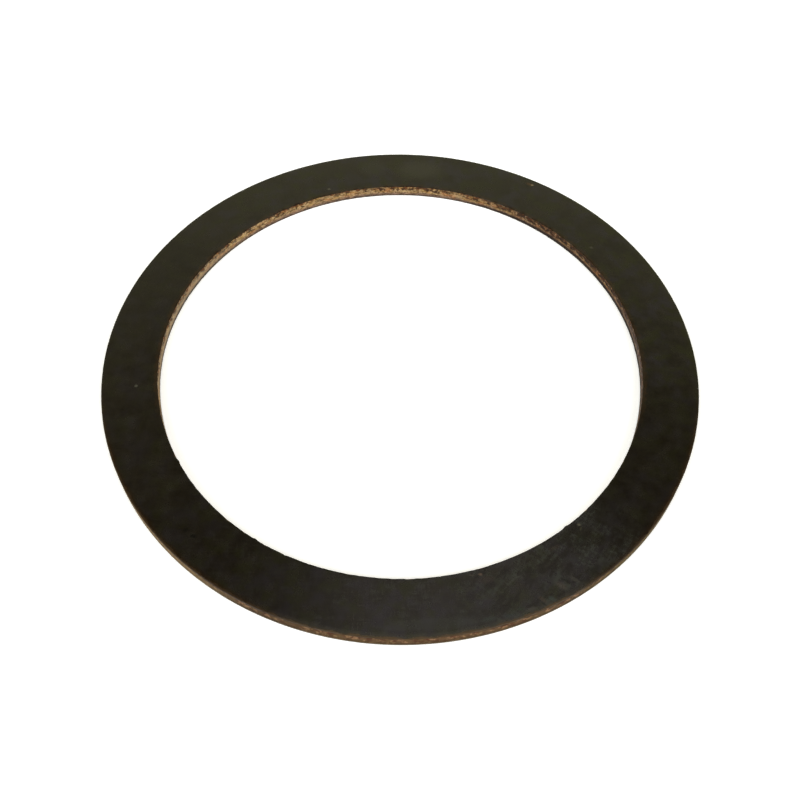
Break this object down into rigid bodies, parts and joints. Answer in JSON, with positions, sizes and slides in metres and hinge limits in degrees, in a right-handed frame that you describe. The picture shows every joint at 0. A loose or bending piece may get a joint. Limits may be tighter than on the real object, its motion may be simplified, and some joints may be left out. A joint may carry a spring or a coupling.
{
  "type": "thrust washer",
  "caption": "Flat ring washer of fabric-filled phenolic laminate that takes end load between two turning faces round a shaft.",
  "frame": {"origin": "centre of the washer's lower face, on the axis of its bore", "axes": "+Z along the bore's axis, from the lower face to the upper face; X and Y are any two radii at right angles, as the washer is round"},
  "size_m": [0.135, 0.135, 0.003],
  "materials": {
    "phenolic_laminate": "dark pressed resin faces with a low sheen, and tan cotton fibre showing at the cut bore and rim"
  },
  "bodies": {
    "root": {"thrust_washer": "phenolic_laminate"}
  },
  "joints": []
}
